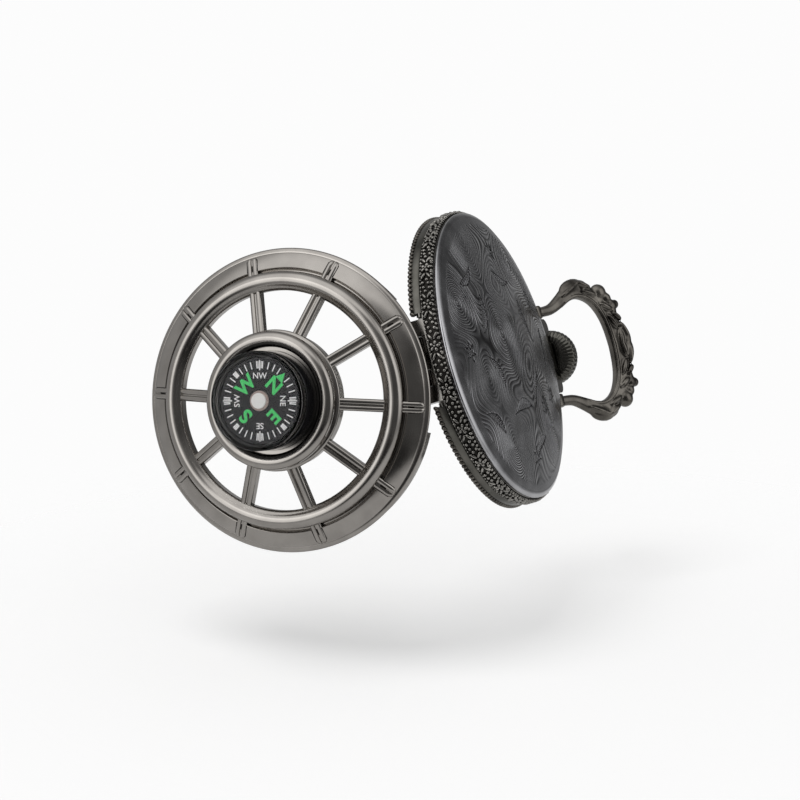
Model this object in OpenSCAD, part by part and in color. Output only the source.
// Pocket compass in a hinged round case, standing open like a book.
// Frame: +Z runs up the lid hinge, +X out of the back cover, +Y from the hinge to the crown.
// The case and the lid are each drawn about their own axis and then placed once.

/* [Pose] */
// Angle between the closed and the drawn lid
open_angle = 90; // [70:5:90]
// Swing of the bow out of the plane of the case, towards the back
bow_swing = 35; // [0:5:60]

/* [Case band] */
// Outer radius of the band under its relief
band_r = 23.6; // [22:0.1:26]
// Height of the band, from the front rim to the seat of the back cover
band_h = 3.65; // [3.2:0.05:4.2]
// Height of the smooth rim at the front
rim_h = 0.95; // [0.7:0.05:1.2]
// Distance from the hinge axis back to the front rim
rim_drop = 1.2; // [1.15:0.05:1.6]
// Width of the rim, from the outside in to the bezel's seat
rim_w = 4; // [3.4:0.1:4.5]
// Step from the bezel's seat in to the bore round the movement
bore_step = 0.6; // [0.4:0.05:1.6]
// Depth of the seat for the bezel
bezel_seat = 0.8; // [0.5:0.05:1.2]

/* [Back cover] */
// Step from the outside of the band in to the cover's edge
cover_step = 0.25; // [0.1:0.05:0.6]
// Thickness of the edge under the bevel
cover_edge = 0.35; // [0.25:0.05:0.6]
// Radial width of the bevel
bevel_w = 0.85; // [0.5:0.05:1.4]
// Height of the bevel
bevel_h = 0.5; // [0.3:0.05:0.9]
// Rise of the dome above the bevel
dome_rise = 1.95; // [1.2:0.05:3]
// Thickness of the cover's sheet
cover_wall = 0.55; // [0.4:0.05:0.8]
// Distance from the outside of the band in to the snap lip
lip_inset = 2.3; // [1.9:0.05:2.9]
// Thickness of the snap lip
lip_wall = 0.55; // [0.4:0.05:0.8]
// Depth of the snap lip
lip_h = 0.6; // [0.5:0.05:0.8]
// Length of the pry notch
notch_len = 3.6; // [2:0.1:6]
// Angle of the pry notch round the case
notch_angle = -74; // [-150:1:-40]

/* [Bezel and crystal] */
// Width of the bezel outside the crystal
bezel_w = 1.4; // [1.2:0.1:2]
// Thickness of the crystal
crystal_t = 1; // [0.8:0.05:1.2]
// Height of the bezel above the hinge axis plane
bezel_proud = 0.2; // [0:0.05:0.5]
// Width of the ledge under the crystal
ledge_w = 0.8; // [0.5:0.05:1.2]
// Thickness of that ledge
ledge_t = 0.45; // [0.3:0.05:0.6]

/* [Dial and hands] */
// Thickness of the dial
dial_t = 0.4; // [0.3:0.05:0.5]
// Distance from the crystal to the dial
hand_room = 1.35; // [1.25:0.05:1.45]
// Thickness of a hand
hand_t = 0.14; // [0.1:0.02:0.18]
// Gap between the tip of the second hand and the chapter ring
second_short = 2.1; // [1:0.1:5]
// Gap between the tip of the minute hand and the chapter ring
minute_short = 2.6; // [1:0.1:5]
// How much shorter the hour hand is than the minute hand
hour_short = 4.5; // [3:0.1:6]

/* [Movement] */
// Width of the plastic ring between the case and the movement
holder_w = 6; // [3.5:0.1:8]
// Thickness of the main plate
plate_t = 1.6; // [1.4:0.05:1.8]
// Thickness of the movement's cover plate
bridge_t = 0.4; // [0.3:0.05:0.5]
// Radius of the battery
battery_r = 3.4; // [3.1:0.1:4.2]
// Thickness of the battery
battery_t = 2.1; // [1.9:0.05:2.25]
// Distance from the edge of the main plate in to the battery
battery_edge = 0.8; // [0.6:0.05:1.2]
// Angle of the battery round the movement
battery_angle = -39; // [-50:1:-20]

/* [Hinge] */
// Distance from the outside of the band in to the hinge axis
hinge_inset = 2; // [1.7:0.05:2.3]
// Radius of the knuckles
knuckle_r = 1.1; // [0.9:0.05:1.15]
// Radius of the hinge pin
hinge_pin_r = 0.42; // [0.35:0.01:0.5]
// Length of the whole barrel
hinge_len = 13; // [10:0.5:16]

/* [Lid rim] */
// Step from the outside of the band in to the lid's edge
lid_step = 0.1; // [0:0.05:0.4]
// Height of the rim above the hinge axis
rim_level = 3; // [2.8:0.05:3.6]
// Thickness of the rim's edge
rim_edge = 0.5; // [0.35:0.05:0.7]
// Width of the lid's edge outside its skirt
rim_lip = 0.9; // [0.7:0.05:1.1]
// Wall of the skirt
skirt_wall = 0.7; // [0.5:0.05:0.8]
// Half angle of the gap in the skirt round the hinge
skirt_gap = 28; // [24:1:36]
// Width of the sloped rim band
slope_w = 3.1; // [2.7:0.1:3.5]
// Rise of the sloped rim band
slope_rise = 1.5; // [1.1:0.05:2]
// Thickness of the rim band
rim_t = 1.25; // [1:0.05:1.5]

/* [Lid wheel] */
// Spokes and studs
spoke_count = 10; // [8:1:12]
// Width of the raised ring, from the slope in to the windows
ring_w = 3.5; // [3.2:0.1:4]
// Radius of the raised ring's round section
ring_bead_r = 1.35; // [1.1:0.05:1.6]
// Height of the raised ring above the rim
ring_top = 3.55; // [3:0.05:4.2]
// Width of a spoke
spoke_w = 1.9; // [1.4:0.1:2.4]
// Depth of a spoke
spoke_t = 1.5; // [1.1:0.1:1.9]
// Width of a rim stud
stud_w = 1.9; // [1.4:0.1:2.4]
// Height of a rim stud above the slope
stud_h = 0.3; // [0.2:0.05:0.5]
// Width of the groove along each spoke and stud
flute_w = 0.3; // [0.2:0.05:0.4]

/* [Hub] */
// Gap between the capsule and the hub's ring
hub_gap = 0.6; // [0.4:0.05:0.8]
// Distance from the outside of the hub's ring in to the cup's wall
hub_tuck = 0.15; // [0:0.05:0.4]
// Radius of the hub ring's round section
hub_bead_r = 1.2; // [1:0.05:1.4]
// Height of the hub ring above the rim
hub_top = 8.1; // [7.4:0.1:9]
// Height of the cup's back edge above the rim
hub_back = 2.6; // [2.2:0.1:3.2]
// Height of the web that carries the capsule
web_level = 4.9; // [4.5:0.1:5.2]
// Thickness of the web
web_t = 0.8; // [0.6:0.05:1]

/* [Compass capsule] */
// Radius of the capsule
capsule_r = 7.6; // [7:0.1:7.9]
// Height of the whole capsule
capsule_h = 6.5; // [6.2:0.1:7.4]
// Side wall of the capsule
capsule_wall = 0.68; // [0.5:0.02:0.8]
// Height of the clear lens
lens_h = 1.9; // [1.7:0.05:2.3]
// Thickness of the clear top
lens_t = 0.75; // [0.6:0.05:0.9]
// Radius of the round edge of the lens
lens_round = 1.35; // [1:0.05:1.4]
// Thickness of the seal under the lens
seal_t = 0.15; // [0.1:0.01:0.25]
// Thickness of the capsule's floor
floor_t = 1.2; // [0.8:0.1:1.6]

/* [Compass card] */
// Gap between the card and the capsule's wall
card_gap = 0.47; // [0.3:0.01:1]
// Thickness of the card
card_t = 0.28; // [0.2:0.02:0.36]
// Radius of the bearing cap
jewel_r = 1.2; // [0.9:0.05:1.5]
// Length of the magnet
magnet_len = 9; // [7:0.5:11]

/* [Pendant and crown] */
// Distance from the outside of the band to the bow's pivots
pivot_out = 1.7; // [1.5:0.1:2.4]
// Length of the pendant between the bow's feet
pendant_len = 12.6; // [11:0.2:14]
// Thickness of the pendant along the case axis
pendant_t = 2.9; // [2.4:0.1:3.2]
// Radius of the crown
crown_r = 4.6; // [3.6:0.1:5.2]
// Height of the crown's fluted part
crown_h = 2.2; // [1.6:0.1:3]
// Flutes round the crown
crown_flutes = 32; // [20:2:40]
// Travel of the crown when it is pressed
press_travel = 0.5; // [0.3:0.05:0.55]
// Radius of the stem
stem_r = 0.38; // [0.3:0.01:0.42]

/* [Bow] */
// Height of the bow's middle line over its pivots
bow_h = 17.9; // [15:0.1:20]
// How far the bow's middle line is wider than the pendant on each side
bow_flare = 5; // [4:0.1:6]
// Distance from the pendant's end to the middle line of the bow's foot
foot_out = 1.44; // [1.3:0.02:1.6]
// Thickness of the bow across its plane
bow_t = 2.7; // [2.2:0.1:3.2]
// Width of the bow at its top, in its plane
bow_top_w = 3.9; // [3:0.1:4.6]
// Rise of the leaf lobes on the bow's outer edge
lobe_rise = 0.5; // [0:0.05:0.8]
// Radius of the bow's pivot pegs
peg_r = 0.55; // [0.4:0.05:0.7]

/* [Latch and springs] */
// Thickness of the flat springs
spring_t = 0.5; // [0.35:0.05:0.6]
// Height of the flat springs
spring_h = 1.7; // [1.3:0.05:1.9]
// Half angle of the latch spring
latch_half = 30; // [20:1:40]

/* [Hidden] */
$fn = 96;

// Overrun of every cut past the face that it opens
cut = 1;
// Gap between pieces that are pressed or glued together
seat_gap = 0.01;
// Gap of a running fit
run_gap = 0.05;
// Gap between parts that pass each other
pass_gap = 0.3;

// Radii of the case, from the outside of the band inwards
cover_r = band_r - cover_step;
lip_r = band_r - lip_inset;
bezel_r = band_r - rim_w;
bore_r = bezel_r - bore_step;
crystal_r = bezel_r - bezel_w;
hinge_r = band_r - hinge_inset;
pivot_r = band_r + pivot_out;
movement_r = bore_r - holder_w;

// Radii of the lid, from its edge inwards, and of the hub, from the capsule outwards
lid_r = band_r - lid_step;
skirt_r = lid_r - rim_lip;
slope_r = lid_r - slope_w;
window_r = slope_r - ring_w;
hub_mid_r = capsule_r + hub_gap + hub_bead_r;
hub_r = hub_mid_r + hub_bead_r - hub_tuck;
card_r = capsule_r - capsule_wall - card_gap;

// Inner radius of the chapter ring, and the lengths of the hands inside it
chapter_r = crystal_r - 2 * ledge_w;
second_len = chapter_r - second_short;
minute_len = chapter_r - minute_short;
hour_len = minute_len - hour_short;

// Widest reach of the bow's middle line to each side
bow_half_w = pendant_len / 2 + bow_flare;

// Levels of the case along its axis, from the hinge axis towards the back
front = rim_drop;
back = rim_drop + band_h;
seat = front + bezel_seat;
crystal_back = crystal_t + bezel_proud / 2;
dial_top = crystal_back + hand_room;
dial_back = dial_top + dial_t;
plate_back = dial_back + plate_t;
bevel_base = back + cover_edge;
dome_base = bevel_base + bevel_h;
dome_edge_r = cover_r - bevel_w;
dome_top = dome_base + dome_rise;
stem_level = front + rim_h + (band_h - rim_h) * 0.46;
relief_front = front + rim_h;

// Levels of the lid along its axis, from the hinge axis outwards
skirt_end = -front + pass_gap;
window_level = rim_level + ring_top - ring_bead_r / 2;
hub_base = rim_level + hub_back;
web_base = rim_level + web_level;
web_top = web_base + web_t;
capsule_top = web_top + capsule_h;
lens_base = capsule_top - lens_h;
cup_top = lens_base - seal_t;
cavity = web_top + floor_t;
card_top = capsule_top - lens_t - jewel_r * 0.8;

// Length of each of the hinge's five knuckles
knuckle_len = hinge_len / 5;
// Middle radius of the springs between the bezel and the lid's skirt, and half the width of their groove
groove_r = (bezel_r + skirt_r - skirt_wall) / 2;
groove_half = spring_t / 2 + pass_gap / 2;
// Angle from the hinge to the middle of a lift spring, its half angle, and how far a groove passes its spring
lift_mid = 50;
lift_half = 16;
groove_past = 3;
// Collar on the stem, the tongue of the latch that it pushes, and the tube round the stem
collar_r = stem_r * 1.4;
collar_t = spring_t;
tongue_w = 4 * stem_r;
tube_r = stem_r * 2;
collar_y = groove_r + spring_t / 2 + seat_gap;
// Innermost reach of the pressed latch spring
latch_inner = groove_r - spring_t / 2 - press_travel;
// Depth of the pry notch under the cover's edge
notch_depth = cover_edge * 0.7;
// Level of the ledge that the gasket lies on, and of the end of the latch's tongue
ledge = back - lip_h - rim_h / 5;
tongue_end = back - lip_h - pass_gap;

// Middle line of half the bow, from a pivot to the top. The first share of each pair is 0 at the foot,
// 1 where the bow is widest and 2 in the middle of the top. The second one is of the bow's height.
bow_line_share = [[0, 0], [0, 0.1], [0.016, 0.21], [0.21, 0.34], [0.59, 0.46], [0.92, 0.57], [1, 0.68],
    [1.06, 0.8], [1.2, 0.89], [1.38, 0.945], [1.58, 0.98], [1.8, 0.997], [2, 1]];
// Width of the bow along that line, as shares of its width at the top
bow_width_share = [0.48, 0.46, 0.46, 0.54, 0.7, 0.84, 0.92, 0.9, 0.8, 0.88, 0.98, 1, 1];
// Least thickness of the bow, as a share of its thickness at the top
flat_share = 0.6;
// Place of the two buds, as shares of the bow's half width and height
bud_place_share = [0.6, 1.06];
// Points of the line where the leaf lobes on the outer edge begin, and lobes on each half
lobe_from = 3;
lobe_count = 5;
// Rings between two points of the line, and sides of each ring
bow_steps = 3;
bow_sides = 12;
bow_n = len(bow_line_share) - 1;
bow_rings = bow_n * bow_steps;
// Radius and width of the bow's round foot, distance of its middle line from the axis, radius of a bud
foot_r = pendant_t / 2;
foot_w = foot_out + bow_width_share[0] * bow_top_w / 2;
foot_x = pendant_len / 2 + foot_out;
bud_r = bow_top_w * 0.22;

// Smooth value between four neighbours
function smooth(a, b, c, d, t) =
    b + t * ((c - a) / 2 + t * (a - 2.5 * b + 2 * c - d / 2 + t * (1.5 * (b - c) + (d - a) / 2)));
function clamp(i, n) = min(max(i, 0), n);
function along(list, s, n) = let (i = min(floor(s), n - 1), t = s - i)
    smooth(list[clamp(i - 1, n)], list[i], list[i + 1], list[clamp(i + 2, n)], t);

// Rings of the bow, from one pivot over the top to the other
function unit(v) = v / norm(v);
function bow_across(share) = share < 1 ? foot_x + (bow_half_w - foot_x) * share : bow_half_w * (2 - share);
function bow_point(j) = bow_n - abs(j - bow_rings) / bow_steps;
function bow_at(j) = let (p = along(bow_line_share, bow_point(j), bow_n))
    [(j < bow_rings ? 1 : -1) * bow_across(p[0]), p[1] * bow_h, 0];
function bow_width_at(j) = along(bow_width_share, bow_point(j), bow_n) * bow_top_w;
function lobe_at(j) = let (s = bow_point(j) - lobe_from)
    s < 0 ? 0 : lobe_rise * pow(sin(180 * lobe_count * s / (bow_n - lobe_from)), 2);
function bow_ring(j) = let (
        d = unit(bow_at(min(j + 1, 2 * bow_rings)) - bow_at(max(j - 1, 0))), side = [-d[1], d[0], 0],
        w = bow_width_at(j) / 2, h = bow_t / 2 * (flat_share + (1 - flat_share) * bow_width_at(j) / bow_top_w))
    [for (k = [0 : bow_sides - 1]) let (q = k * 360 / bow_sides)
        bow_at(j) + side * (w * cos(q) - lobe_at(j) * max(-cos(q), 0)) + [0, 0, h * sin(q)]];
bow_points = [for (j = [0 : 2 * bow_rings]) each bow_ring(j)];

// Corner of the box round the whole part, so that the frame stands at its bottom centre
low_x = -(hinge_r + lid_r) * sin(open_angle) - rim_level * cos(open_angle);
low_y = hinge_r * cos(open_angle) - capsule_top * sin(open_angle) - (capsule_r - lens_round) * cos(open_angle);
bow_reach_x = max([for (p = bow_points) p[1] * sin(bow_swing) + p[2] * cos(bow_swing)]);
bow_reach_y = max([for (p = bow_points) p[1] * cos(bow_swing) - p[2] * sin(bow_swing)]);
bud_y = bow_h * bud_place_share[1];
high_x = max(dome_top, stem_level + max(bow_reach_x, bud_y * sin(bow_swing) + bud_r));
high_y = hinge_r + pivot_r + max(bow_reach_y, bud_y * cos(bow_swing) + bud_r);
place = [-(low_x + high_x) / 2, -(low_y + high_y) / 2, max(band_r, lid_r)];

// Puts a piece of the case where it stands: its axis along X, its crown side along Y
module in_case() {
    translate(place) translate([0, hinge_r, 0]) rotate([0, 90, 0]) children();
}

// Puts a piece of the lid where it stands, opened about the hinge
module in_lid() {
    translate(place) rotate([0, 0, open_angle]) translate([0, hinge_r, 0]) rotate([0, -90, 0]) children();
}

// Tube from level a to level b
module tube(ro, ri, a, b) {
    translate([0, 0, a]) difference() {
        cylinder(r = ro, h = b - a);
        translate([0, 0, -cut]) cylinder(r = ri, h = b - a + 2 * cut);
    }
}

// Disc from level a to level b
module disc(r, a, b) {
    translate([0, 0, a]) cylinder(r = r, h = b - a);
}

// Cylinder along X, centred on the hinge axis of the case or the lid
module along_hinge(r, x0, x1) {
    translate([x0, -hinge_r, 0]) rotate([0, 90, 0]) cylinder(r = r, h = x1 - x0);
}

// Cylinder along Y at the crown side of the case, at the level of the stem
module along_stem(r, y0, y1) {
    translate([0, y0, stem_level]) rotate([-90, 0, 0]) cylinder(r = r, h = y1 - y0);
}

// Piece of a ring, half as many degrees wide each way as asked, centred on an angle
module ring_sector(ro, ri, half, mid, h) {
    rotate([0, 0, mid - half]) rotate_extrude(angle = 2 * half) translate([ri, 0]) square([ro - ri, h]);
}

// The band: a smooth front rim, a belt between two grooves, seats for the bezel and the back cover
module case_band() {
    groove = rim_h / 5;
    color([0.24, 0.23, 0.22]) in_case() difference() {
        union() {
            difference() {
                rotate_extrude() polygon([
                    [bezel_r + seat_gap, front], [band_r - rim_h * 0.6, front],
                    [band_r - rim_h * 0.2, front + rim_h * 0.2], [band_r, front + rim_h * 0.6],
                    [band_r, relief_front - groove], [band_r - groove * 2, relief_front],
                    [band_r - groove * 2, relief_front + groove], [band_r - groove, relief_front + groove * 2],
                    [band_r, stem_level + groove], [band_r - groove, back - groove * 2],
                    [cover_r - bevel_w / 2, back], [lip_r + run_gap, back], [lip_r + run_gap, ledge],
                    [bore_r + seat_gap, ledge], [bore_r + seat_gap, seat], [bezel_r + seat_gap, seat]
                ]);
                translate([-hinge_len / 2 - pass_gap, -band_r - cut, front - cut])
                    cube([hinge_len + 2 * pass_gap, band_r + cut - bezel_r - pass_gap, cut + rim_h]);
            }
            for (k = [0, 2, 4]) case_knuckle(k);
        }
        along_hinge(hinge_pin_r + seat_gap, -hinge_len, hinge_len);
        spring_grooves();
        along_stem(tube_r + seat_gap, bore_r - cut, band_r + cut);
    }
}

// One of the band's three knuckles, on its block
module case_knuckle(k) {
    x0 = -hinge_len / 2 + k * knuckle_len + run_gap;
    w = knuckle_len - 2 * run_gap;
    along_hinge(knuckle_r, x0, x0 + w);
    translate([x0, -hinge_r - knuckle_r, 0]) cube([w, 2 * knuckle_r, relief_front + rim_h / 5]);
}

// Grooves in the front rim for the lift springs and the latch spring, with the pocket for its tongue
module spring_grooves() {
    outer = groove_r + groove_half;
    pocket = [
        tongue_w + 2 * pass_gap, collar_y + collar_t + run_gap - latch_inner + pass_gap,
        stem_level + collar_r + run_gap - front + cut
    ];
    translate([0, 0, front + spring_h / 2]) mirror([0, 0, 1]) {
        for (s = [-1, 1])
            ring_sector(outer, groove_r - groove_half, lift_half + groove_past, -90 + s * lift_mid, spring_h);
        ring_sector(outer, latch_inner - run_gap, latch_half + groove_past, 90, spring_h);
    }
    translate([-tongue_w / 2 - pass_gap, latch_inner - pass_gap, front - cut]) cube(pocket);
}

// The pendant that carries the bow and the crown's tube
module pendant() {
    color([0.3, 0.29, 0.28]) in_case() difference() {
        translate([0, 0, stem_level - pendant_t / 2]) linear_extrude(pendant_t) difference() {
            union() {
                translate([-pendant_len / 2, band_r - pendant_t / 2])
                    square([pendant_len, pivot_out + pendant_t / 2]);
                for (s = [-1, 1]) translate([s * (pendant_len - pendant_t) / 2, pivot_r])
                    circle(r = pendant_t / 2);
                translate([-crown_r / 2, pivot_r - cut]) square([crown_r, cut + pendant_t / 3]);
            }
            circle(r = band_r + seat_gap);
        }
        for (s = [0, 1]) mirror([s, 0, 0]) translate([pendant_len / 2 - peg_len - run_gap, pivot_r, stem_level])
            rotate([0, 90, 0]) cylinder(r = peg_r + run_gap, h = peg_len + cut);
        along_stem(tube_r + seat_gap, band_r - cut, pivot_r + pendant_t);
    }
}

// Length of the bow's pegs inside the pendant
peg_len = pendant_t / 2;

// Slice through a sphere on the axis whose top is at the given level, over a band of the profile
module cap_slice(r, top, from, width) {
    intersection() {
        translate([0, top - r]) circle(r = r, $fn = 720);
        translate([0, from]) square([width, top - from + cut]);
    }
}

// The snap-on back: an edge, a bevel, a shallow dome and a snap lip, with a notch to pry it off
module back_cover() {
    dome_foot_r = dome_edge_r - cover_edge / 2;
    dome_r = (dome_foot_r * dome_foot_r + dome_rise * dome_rise) / (2 * dome_rise);
    lip_in = lip_r - lip_wall;
    color([0.32, 0.32, 0.34]) in_case() difference() {
        rotate_extrude() difference() {
            union() {
                polygon([
                    [0, back], [cover_r, back], [cover_r, bevel_base], [dome_edge_r, dome_base], [0, dome_base]
                ]);
                translate([lip_in, back - lip_h]) square([lip_wall, lip_h + cover_edge]);
                cap_slice(dome_r, dome_top, bevel_base, dome_edge_r);
            }
            cap_slice(dome_r - cover_wall, dome_top - cover_wall, back - cut, lip_in);
        }
        rotate([0, 0, notch_angle]) translate([cover_r - bevel_w / 2, -notch_len / 2, back - cut])
            cube([bevel_w, notch_len, cut + notch_depth]);
    }
}

// The ring that seals the back cover
module back_gasket() {
    color([0.08, 0.08, 0.08]) in_case()
        tube(lip_r - lip_wall - run_gap, lip_r - 2 * lip_wall, ledge + seat_gap, back - lip_h / 2);
}

// The snap-in bezel with the crystal's seat
module bezel() {
    b = crystal_back;
    color([0.34, 0.33, 0.32]) in_case() rotate_extrude() polygon([
        [crystal_r - ledge_w, b + seat_gap], [crystal_r + seat_gap, b + seat_gap], [crystal_r + seat_gap, 0],
        [crystal_r + ledge_w / 2, -bezel_proud], [bezel_r - ledge_w / 2, -bezel_proud], [bezel_r, bezel_proud],
        [bezel_r, seat - seat_gap], [crystal_r, seat - seat_gap], [crystal_r, b + ledge_t],
        [crystal_r - ledge_w, b + ledge_t]
    ]);
}

// The mineral glass over the dial
module crystal() {
    color([0.8, 0.88, 0.9, 0.35]) in_case() disc(crystal_r, crystal_back - crystal_t, crystal_back);
}

// The sloped ring between the crystal and the dial
module chapter_ring() {
    top = crystal_back + ledge_t + seat_gap;
    color([0.2, 0.2, 0.2]) in_case() rotate_extrude() polygon([
        [crystal_r - ledge_w, top], [crystal_r - seat_gap, top], [crystal_r - seat_gap, dial_top - seat_gap],
        [chapter_r, dial_top - seat_gap]
    ]);
}

// Hole in the dial for the hands, and radii of the three arbors from the outer to the inner
centre_hole_r = 1.1;
arbor_r = centre_hole_r * 0.75;
arbor2_r = arbor_r * 0.65;
arbor3_r = arbor_r * 0.25;

// The dial, with twelve raised markers
module dial() {
    color([0.92, 0.91, 0.87]) in_case() difference() {
        union() {
            disc(bore_r - seat_gap, dial_top, dial_back);
            for (a = [0 : 30 : 330]) rotate([0, 0, a])
                translate([-marker_w / 2, chapter_r - marker_len - marker_w, dial_top - marker_h])
                    cube([marker_w, marker_len, marker_h + dial_t / 2]);
        }
        disc(centre_hole_r, dial_top - cut, dial_back + cut);
    }
}

// Width, length and height of a raised hour marker on the dial
marker_w = 0.5;
marker_len = 2.2;
marker_h = 0.12;

// The plastic ring that holds the movement in the case
module movement_holder() {
    color([0.85, 0.85, 0.83]) in_case() difference() {
        tube(bore_r - seat_gap, movement_r + seat_gap, dial_back + seat_gap, plate_back);
        for (a = [30, 150, 270]) rotate([0, 0, a]) translate([(bore_r + movement_r) / 2, 0, dial_back - cut])
            cylinder(r = (bore_r - movement_r) / 3, h = plate_t + 2 * cut);
        along_stem(stem_r + 2 * run_gap, movement_r - cut, bore_r + cut);
    }
}

// Radius of the circuit board and the cover plate, which leave the battery open at the side
bridge_r = movement_r * 0.9;
// Place and seat of the battery, at the edge of the main plate
battery_out = movement_r - battery_r - battery_edge;
battery_x = battery_out * cos(battery_angle);
battery_y = battery_out * sin(battery_angle);
battery_sink = plate_t * 0.55;
// Place, length and radius of the coil, and reach of the stem into the movement
coil_y = movement_r / 2.2;
coil_len = movement_r * 0.8;
coil_x = -coil_len / 2 - movement_r / 4;
coil_r = plate_t * 0.6;
stem_in = movement_r * 0.23;

// The main plate, with pockets for the battery and the coil and a hole for the hands
module main_plate() {
    color([0.75, 0.62, 0.3]) in_case() difference() {
        disc(movement_r, dial_back + seat_gap, plate_back);
        disc(arbor2_r + run_gap, dial_back - cut, plate_back + cut);
        translate([battery_x, battery_y, plate_back - battery_sink])
            cylinder(r = battery_r + run_gap, h = plate_t + cut);
        translate([coil_x, coil_y - coil_r - pass_gap / 2, plate_back - coil_r])
            cube([coil_len + pass_gap, 2 * coil_r + pass_gap, coil_r + cut]);
        along_stem(stem_r + run_gap, movement_r - stem_in, movement_r + cut);
    }
}

// The motor's coil: a winding between two cheeks on a bar core
module drive_coil() {
    cheek_t = coil_r / 3;
    color([0.7, 0.35, 0.15]) in_case()
        translate([coil_x + pass_gap / 2, coil_y, plate_back]) rotate([0, 90, 0]) {
            cylinder(r = coil_r * 0.8, h = coil_len);
            for (z = [0, coil_len - cheek_t]) translate([0, 0, z]) cylinder(r = coil_r - seat_gap, h = cheek_t);
        }
}

// The circuit board on the main plate, open over the battery and the coil
module circuit_board() {
    color([0.1, 0.3, 0.2]) in_case() translate([0, 0, plate_back + seat_gap]) difference() {
        intersection() {
            cylinder(r = bridge_r, h = board_t);
            translate([-movement_r, -movement_r, -cut])
                cube([movement_r * 2, movement_r + coil_y - coil_r * 1.5, board_t + 2 * cut]);
        }
        translate([battery_x, battery_y, -cut]) cylinder(r = battery_r + pass_gap, h = board_t + 2 * cut);
    }
}

// Thickness of the circuit board
board_t = plate_t / 4;

// The button cell: a wide can with a narrower cap
module battery() {
    z0 = plate_back - battery_sink + seat_gap;
    color([0.8, 0.8, 0.8]) in_case() translate([battery_x, battery_y, 0]) {
        disc(battery_r, z0, z0 + battery_t * 0.8);
        disc(battery_r * 0.85, z0, z0 + battery_t);
    }
}

// The metal plate that holds the movement together, open over the battery and the coil
module movement_cover() {
    z0 = plate_back + seat_gap * 2 + board_t;
    color([0.8, 0.8, 0.78]) in_case() translate([0, 0, z0]) difference() {
        intersection() {
            cylinder(r = bridge_r, h = bridge_t);
            translate([-movement_r, -movement_r, -cut])
                cube([movement_r * 2, movement_r + coil_y - coil_r * 1.6, bridge_t + 2 * cut]);
        }
        translate([battery_x, battery_y, -cut]) cylinder(r = battery_r + pass_gap, h = bridge_t + 2 * cut);
    }
}

// The pin through all five knuckles
module hinge_pin() {
    color([0.6, 0.6, 0.6]) in_case()
        along_hinge(hinge_pin_r, -hinge_len / 2 + run_gap, hinge_len / 2 - run_gap);
}

// A curved strip of spring steel in its groove, centred on an angle
module flat_spring(half, mid) {
    translate([0, 0, front - spring_h / 2])
        ring_sector(groove_r + spring_t / 2, groove_r - spring_t / 2, half, mid, spring_h - seat_gap * 2);
}

// Two flat springs in the front rim that push the lid open
module lift_spring() {
    color([0.5, 0.5, 0.52]) in_case() for (s = [-1, 1]) flat_spring(lift_half, -90 + s * lift_mid);
}

// The spring that holds the lid shut, with its nose and the tongue that the crown pushes
module latch_spring() {
    color([0.5, 0.5, 0.52]) in_case() difference() {
        union() {
            flat_spring(latch_half, 90);
            translate([-tongue_w / 2, groove_r - spring_t / 2, front])
                cube([tongue_w, spring_t, tongue_end - front]);
            translate([-tongue_w / 2, groove_r - spring_t / 2, front - spring_h / 2])
                cube([tongue_w, skirt_r - skirt_wall - pass_gap - groove_r + spring_t / 2, spring_h / 3]);
        }
        along_stem(stem_r + run_gap, groove_r - cut, groove_r + cut);
    }
}

// The collar on the stem that pushes the latch
module stem_collar() {
    color([0.6, 0.6, 0.6]) in_case() difference() {
        along_stem(collar_r, collar_y, collar_y + collar_t);
        along_stem(stem_r + run_gap, collar_y - cut, collar_y + collar_t + cut);
    }
}

// Place of the crown's underside, height of its dome, height and radius of its flutes
crown_y = pivot_r + pendant_t / 3 + press_travel + run_gap * 3;
crown_dome = crown_h * 0.7;
flute_h = crown_h * 0.9;
flute_r = PI * crown_r / crown_flutes * 0.75;

// The crown: a fluted knob with a domed top, hollow underneath round the tube
module crown() {
    color([0.27, 0.26, 0.25]) in_case() translate([0, crown_y, stem_level]) rotate([-90, 0, 0]) difference() {
        union() {
            cylinder(r1 = crown_r * 0.8, r2 = crown_r, h = crown_h * 0.3);
            translate([0, 0, crown_h * 0.3]) cylinder(r = crown_r, h = crown_h * 0.7);
            translate([0, 0, crown_h]) intersection() {
                rr = (crown_r * crown_r + crown_dome * crown_dome) / (2 * crown_dome);
                translate([0, 0, crown_dome - rr]) sphere(r = rr);
                cylinder(r = crown_r, h = crown_dome + cut);
            }
        }
        for (k = [0 : crown_flutes - 1]) rotate([0, 0, k * 360 / crown_flutes])
            translate([crown_r + flute_r * 0.45, 0, -cut]) cylinder(r = flute_r, h = flute_h + cut);
        translate([0, 0, -cut]) cylinder(r = tube_r + pass_gap, h = cut + crown_h * 0.6);
        translate([0, 0, -cut]) cylinder(r = stem_r + seat_gap, h = cut + crown_h);
    }
}

// The stem, from the movement to the crown
module winding_stem() {
    color([0.6, 0.6, 0.6]) in_case()
        along_stem(stem_r, movement_r - stem_in + press_travel + run_gap, crown_y + crown_h - seat_gap);
}

// The tube in the pendant that guides the stem
module crown_tube() {
    color([0.5, 0.5, 0.5]) in_case() difference() {
        along_stem(tube_r, collar_y + collar_t + pass_gap + run_gap, crown_y + crown_h * 0.25);
        along_stem(stem_r + run_gap, groove_r, crown_y + crown_h);
    }
}

// The bow's own plane: x across, y away from the pivots, z through it
module in_bow() {
    in_case() translate([0, pivot_r, stem_level]) rotate([bow_swing, 0, 0]) children();
}

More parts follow.
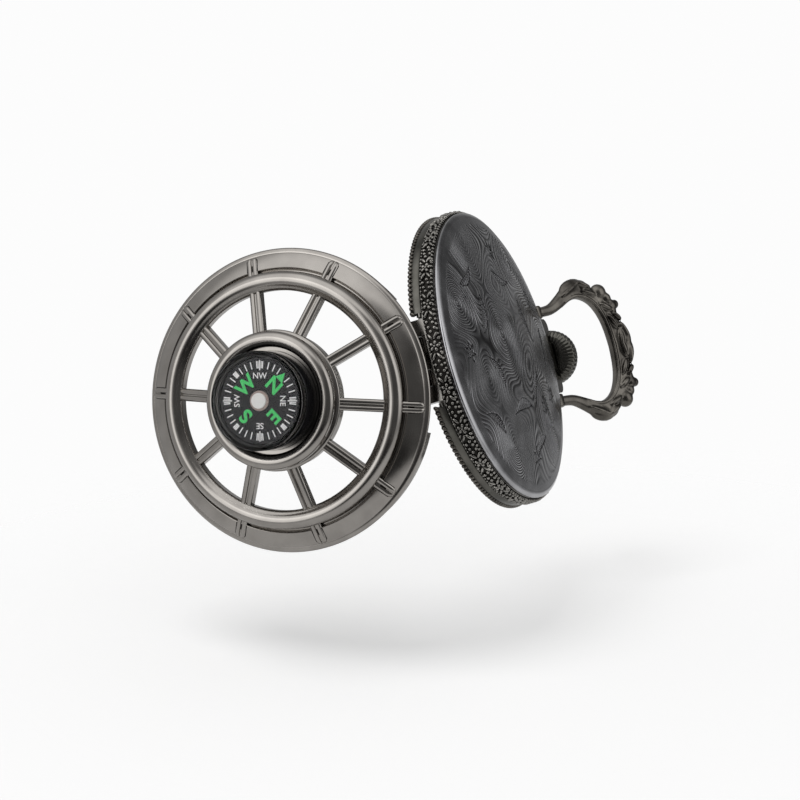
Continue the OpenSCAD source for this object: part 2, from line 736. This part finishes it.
// The bow: a cast loop of varying width, with two buds and a pair of pegs
module bow() {
    last = 2 * bow_rings;
    walls = [for (j = [0 : last - 1]) for (k = [0 : bow_sides - 1])
        let (n = (k + 1) % bow_sides, a = j * bow_sides, b = a + bow_sides)
        each [[a + k, b + k, b + n], [a + k, b + n, a + n]]];
    ends = [[for (k = [0 : bow_sides - 1]) k], [for (k = [bow_sides - 1 : -1 : 0]) last * bow_sides + k]];
    color([0.25, 0.24, 0.23]) in_bow() union() {
        polyhedron(points = bow_points, faces = concat(walls, ends), convexity = 6);
        for (s = [0, 1]) mirror([s, 0, 0]) {
            translate([pendant_len / 2 + run_gap * 2, 0, 0])
                rotate([0, 90, 0]) cylinder(r = foot_r, h = foot_w);
            translate([pendant_len / 2 - peg_len, 0, 0])
                rotate([0, 90, 0]) cylinder(r = peg_r, h = peg_len + foot_w / 2);
            translate([bow_half_w * bud_place_share[0], bud_y, 0]) sphere(r = bud_r);
        }
    }
}

// A hand: a long blade with a tail, on a round boss, pointing up the dial at the given level
module hand(len, w, boss, hole, level) {
    translate([0, 0, level - hand_t]) difference() {
        union() {
            linear_extrude(hand_t) polygon([
                [-w / 2, -len * 0.2], [w / 2, -len * 0.2], [w, len * 0.25], [0, len], [-w, len * 0.25]
            ]);
            cylinder(r = boss, h = hand_t);
        }
        translate([0, 0, -cut]) cylinder(r = hole, h = hand_t + 2 * cut);
    }
}

// Step in height from one hand to the next
hand_step = (hand_room - 2 * hand_t) / 4;

module hour_hand() {
    z = dial_top - hand_step * 0.8;
    color([0.1, 0.1, 0.1]) in_case() rotate([0, 0, 50]) {
        hand(hour_len, hour_len * 0.07, centre_hole_r, arbor2_r + run_gap, z);
        tube(arbor_r, arbor2_r + run_gap, z - hand_t / 2, dial_back - run_gap);
    }
}

module minute_hand() {
    z = dial_top - hand_step * 1.9;
    color([0.1, 0.1, 0.1]) in_case() rotate([0, 0, -60]) {
        hand(minute_len, hour_len * 0.05, centre_hole_r * 0.9, arbor3_r + run_gap, z);
        tube(arbor2_r, arbor3_r + run_gap, z - hand_t / 2, plate_back - run_gap);
    }
}

module second_hand() {
    z = dial_top - hand_step * 3;
    color([0.6, 0.1, 0.1]) in_case() rotate([0, 0, 170]) {
        hand(second_len, hour_len * 0.02, centre_hole_r * 0.7, arbor3_r / 2, z);
        disc(arbor3_r, z - hand_t, plate_back - run_gap);
    }
}

// Outline of the lid's rim, ring and skirt, from its axis outwards
module lid_section() {
    slope_foot = rim_level + rim_edge / 2;
    groove = (slope_r - window_r - ring_bead_r * 2) * 0.75;
    polygon([
        [skirt_r, skirt_end], [skirt_r, rim_level - rim_edge / 2],
        [lid_r, rim_level - rim_edge / 2], [lid_r, slope_foot],
        [slope_r, slope_foot + slope_rise], [slope_r, slope_foot + slope_rise - groove],
        [ring_mid_r, slope_foot + slope_rise - groove],
        [window_r + ring_bead_r / 2, window_level + ring_bead_r / 4],
        [window_r, window_level - ring_bead_r / 8], [window_r, rim_level + rim_t],
        [slope_r - rim_t / 2, rim_level + rim_edge + slope_rise - rim_t * 1.3],
        [skirt_r - skirt_wall, rim_level - rim_edge / 2], [skirt_r - skirt_wall, skirt_end]
    ]);
    translate([ring_mid_r, rim_level + ring_top - ring_bead_r]) circle(r = ring_bead_r);
}

// Middle radius of the raised ring, and angle of the sloped rim
ring_mid_r = window_r + ring_bead_r * 1.2;
slope_angle = atan(slope_rise / slope_w);

// Outline of the hub: ring, flange, cup wall and the web under the capsule
module hub_section() {
    bead_mid = rim_level + hub_top - hub_bead_r;
    polygon([
        [0, web_base], [hub_r - hub_wall, web_base], [hub_r - hub_wall, hub_base], [hub_r, hub_base],
        [hub_r, bead_mid - hub_bead_r * 1.8], [hub_r + flange_w, bead_mid - hub_bead_r * 1.6],
        [hub_r + flange_w, bead_mid - hub_bead_r * 1.1], [hub_r, bead_mid - hub_bead_r * 0.8],
        [hub_mid_r, bead_mid], [capsule_r + hub_gap, bead_mid], [capsule_r + hub_gap, web_top + lip_up],
        [capsule_r + run_gap, web_top + lip_up], [capsule_r + run_gap, web_top], [0, web_top]
    ]);
    translate([hub_mid_r, bead_mid]) circle(r = hub_bead_r);
}

// Wall of the cup, width of the flange round it, and height of the lip round the capsule's foot
hub_wall = 0.85;
flange_w = 0.35;
lip_up = 0.9;

// Radii of a spoke's two ends, and the heights of its top there
spoke_out = window_r + ring_bead_r * 0.6;
spoke_in = hub_r - hub_wall / 2;
spoke_out_z = window_level - ring_bead_r * 0.15;
spoke_in_z = rim_level + hub_top - hub_bead_r * 2;

// Side outline of a spoke, raised or lowered as asked, in a plane through the axis
module spoke_side(up, t, in = spoke_in, out = spoke_out) {
    fall = (spoke_out_z - spoke_in_z) / (spoke_out - spoke_in);
    z0 = spoke_in_z + fall * (in - spoke_in) + up;
    z1 = spoke_in_z + fall * (out - spoke_in) + up;
    polygon([[in, z0], [out, z1], [out, z1 - t], [in, z0 - t]]);
}

// Stands an outline up along the spoke's direction
module stand(w) {
    rotate([90, 0, 0]) translate([0, 0, -w / 2]) linear_extrude(w) children();
}

// A rim stud's outline: a bar with a round outer end
module stud_shape(w, grow) {
    translate([slope_r - ring_bead_r / 4, -w / 2 - grow])
        square([stud_end - slope_r + ring_bead_r / 4, w + 2 * grow]);
    translate([stud_end, 0]) circle(r = w / 2 + grow);
}

// Radius at the middle of a stud's round nose
stud_end = lid_r - stud_w;

// Places a flat shape on the slope of the rim
module on_slope(up) {
    translate([lid_r, 0, rim_level + rim_edge / 2]) rotate([0, slope_angle, 0])
        translate([-lid_r, 0, up]) children();
}

// The lid: a cast ship's wheel with rim, studs, raised ring, spokes and a hub for the compass
module lid_wheel() {
    color([0.45, 0.44, 0.42]) in_lid() difference() {
        union() {
            difference() {
                rotate_extrude() lid_section();
                skirt_opening();
                for (k = [0 : spoke_count - 1]) rotate([0, 0, k * 360 / spoke_count])
                    on_slope(-stud_h / 2) linear_extrude(stud_h + cut) stud_shape(stud_w, flute_w / 2);
            }
            rotate_extrude() hub_section();
            for (k = [0 : spoke_count - 1]) rotate([0, 0, k * 360 / spoke_count]) {
                stand(spoke_w) spoke_side(0, spoke_t);
                on_slope(-stud_h) linear_extrude(2 * stud_h) stud_shape(stud_w, 0);
            }
            for (k = [1, 3]) lid_knuckle(k);
        }
        for (k = [0 : spoke_count - 1]) rotate([0, 0, k * 360 / spoke_count]) {
            stand(flute_w) spoke_side(cut, cut + flute_w, hub_r + 2 * flange_w, window_r - flange_w);
            on_slope(0) translate([slope_r, -flute_w / 2, 0]) cube([stud_end - slope_r, flute_w, stud_h + cut]);
        }
        along_hinge(hinge_pin_r + run_gap, -hinge_len, hinge_len);
    }
}

// The gap in the skirt that clears the barrel and the band
module skirt_opening() {
    side = skirt_wall / 3;
    tall = rim_level - rim_edge - skirt_end + cut;
    translate([0, 0, skirt_end - cut])
        ring_sector(skirt_r + side, skirt_r - skirt_wall - side, skirt_gap, -90, tall);
}

// One of the lid's two knuckles, on its web under the rim
module lid_knuckle(k) {
    x0 = -hinge_len / 2 + k * knuckle_len + run_gap;
    w = knuckle_len - 2 * run_gap;
    along_hinge(knuckle_r, x0, x0 + w);
    translate([x0, -hinge_r - knuckle_r * 0.6, 0]) cube([w, knuckle_r * 1.5, rim_level + rim_edge / 4]);
}

// The black cup of the compass
module capsule_cup() {
    color([0.05, 0.05, 0.05]) in_lid() difference() {
        disc(capsule_r, web_top, cup_top);
        disc(capsule_r - capsule_wall, cavity, cup_top + cut);
        disc(post_r + seat_gap, web_top + floor_t / 3, cavity + cut);
    }
}

// The seal between the cup and the lens
module capsule_seal() {
    color([0.1, 0.1, 0.1]) in_lid() tube(capsule_r - run_gap, capsule_r - capsule_wall, cup_top, lens_base);
}

// The clear lens with its rounded edge
module capsule_lens() {
    color([0.85, 0.9, 0.9, 0.3]) in_lid() rotate_extrude() difference() {
        union() {
            translate([0, lens_base]) square([capsule_r - lens_round, lens_h]);
            translate([0, lens_base]) square([capsule_r, lens_h - lens_round]);
            translate([capsule_r - lens_round, capsule_top - lens_round]) intersection() {
                circle(r = lens_round);
                square(lens_round);
            }
        }
        translate([0, lens_base - cut]) square([capsule_r - capsule_wall, lens_h - lens_t + cut]);
    }
}

// Radius of the post under the card
post_r = 0.35;

// The post with the steel point that the card turns on
module pivot_pin() {
    color([0.75, 0.62, 0.3]) in_lid() {
        disc(post_r, web_top + floor_t / 3, card_top - card_t);
        translate([0, 0, card_top - card_t])
            cylinder(r1 = post_r, r2 = post_r / 5, h = card_t + jewel_r * 0.25);
    }
}

// Radius of the hole in the card and the magnet
hole_r = post_r + pass_gap / 2;

// The round card with the points of the compass
module compass_card() {
    color([0.05, 0.05, 0.06]) in_lid() tube(card_r, hole_r, card_top - card_t, card_top);
}

// The bar magnet under the card
module card_magnet() {
    h = card_t * 2;
    z0 = card_top - card_t - h - seat_gap;
    color([0.3, 0.3, 0.32]) in_lid() rotate([0, 0, 60]) difference() {
        intersection() {
            translate([-magnet_len / 2, -jewel_r, z0]) cube([magnet_len, 2 * jewel_r, h]);
            disc(card_r * 0.9, z0, z0 + h);
        }
        disc(hole_r, z0 - cut, z0 + h + cut);
    }
}

// The bearing cap on the card, hollow over the pivot's point
module card_jewel() {
    base = card_top + seat_gap;
    h = jewel_r * 0.55;
    color([0.95, 0.93, 0.9]) in_lid() difference() {
        union() {
            disc(jewel_r * 1.3, base, base + h * 0.45);
            disc(jewel_r, base, base + h);
        }
        translate([0, 0, card_top]) cylinder(r1 = hole_r, r2 = post_r / 2, h = seat_gap + jewel_r * 0.4);
    }
}

case_band();
pendant();
back_cover();
back_gasket();
bezel();
crystal();
chapter_ring();
dial();
movement_holder();
main_plate();
drive_coil();
circuit_board();
battery();
movement_cover();
hinge_pin();
lift_spring();
latch_spring();
stem_collar();
crown();
winding_stem();
crown_tube();
bow();
hour_hand();
minute_hand();
second_hand();
lid_wheel();
capsule_cup();
capsule_seal();
capsule_lens();
pivot_pin();
compass_card();
card_magnet();
card_jewel();
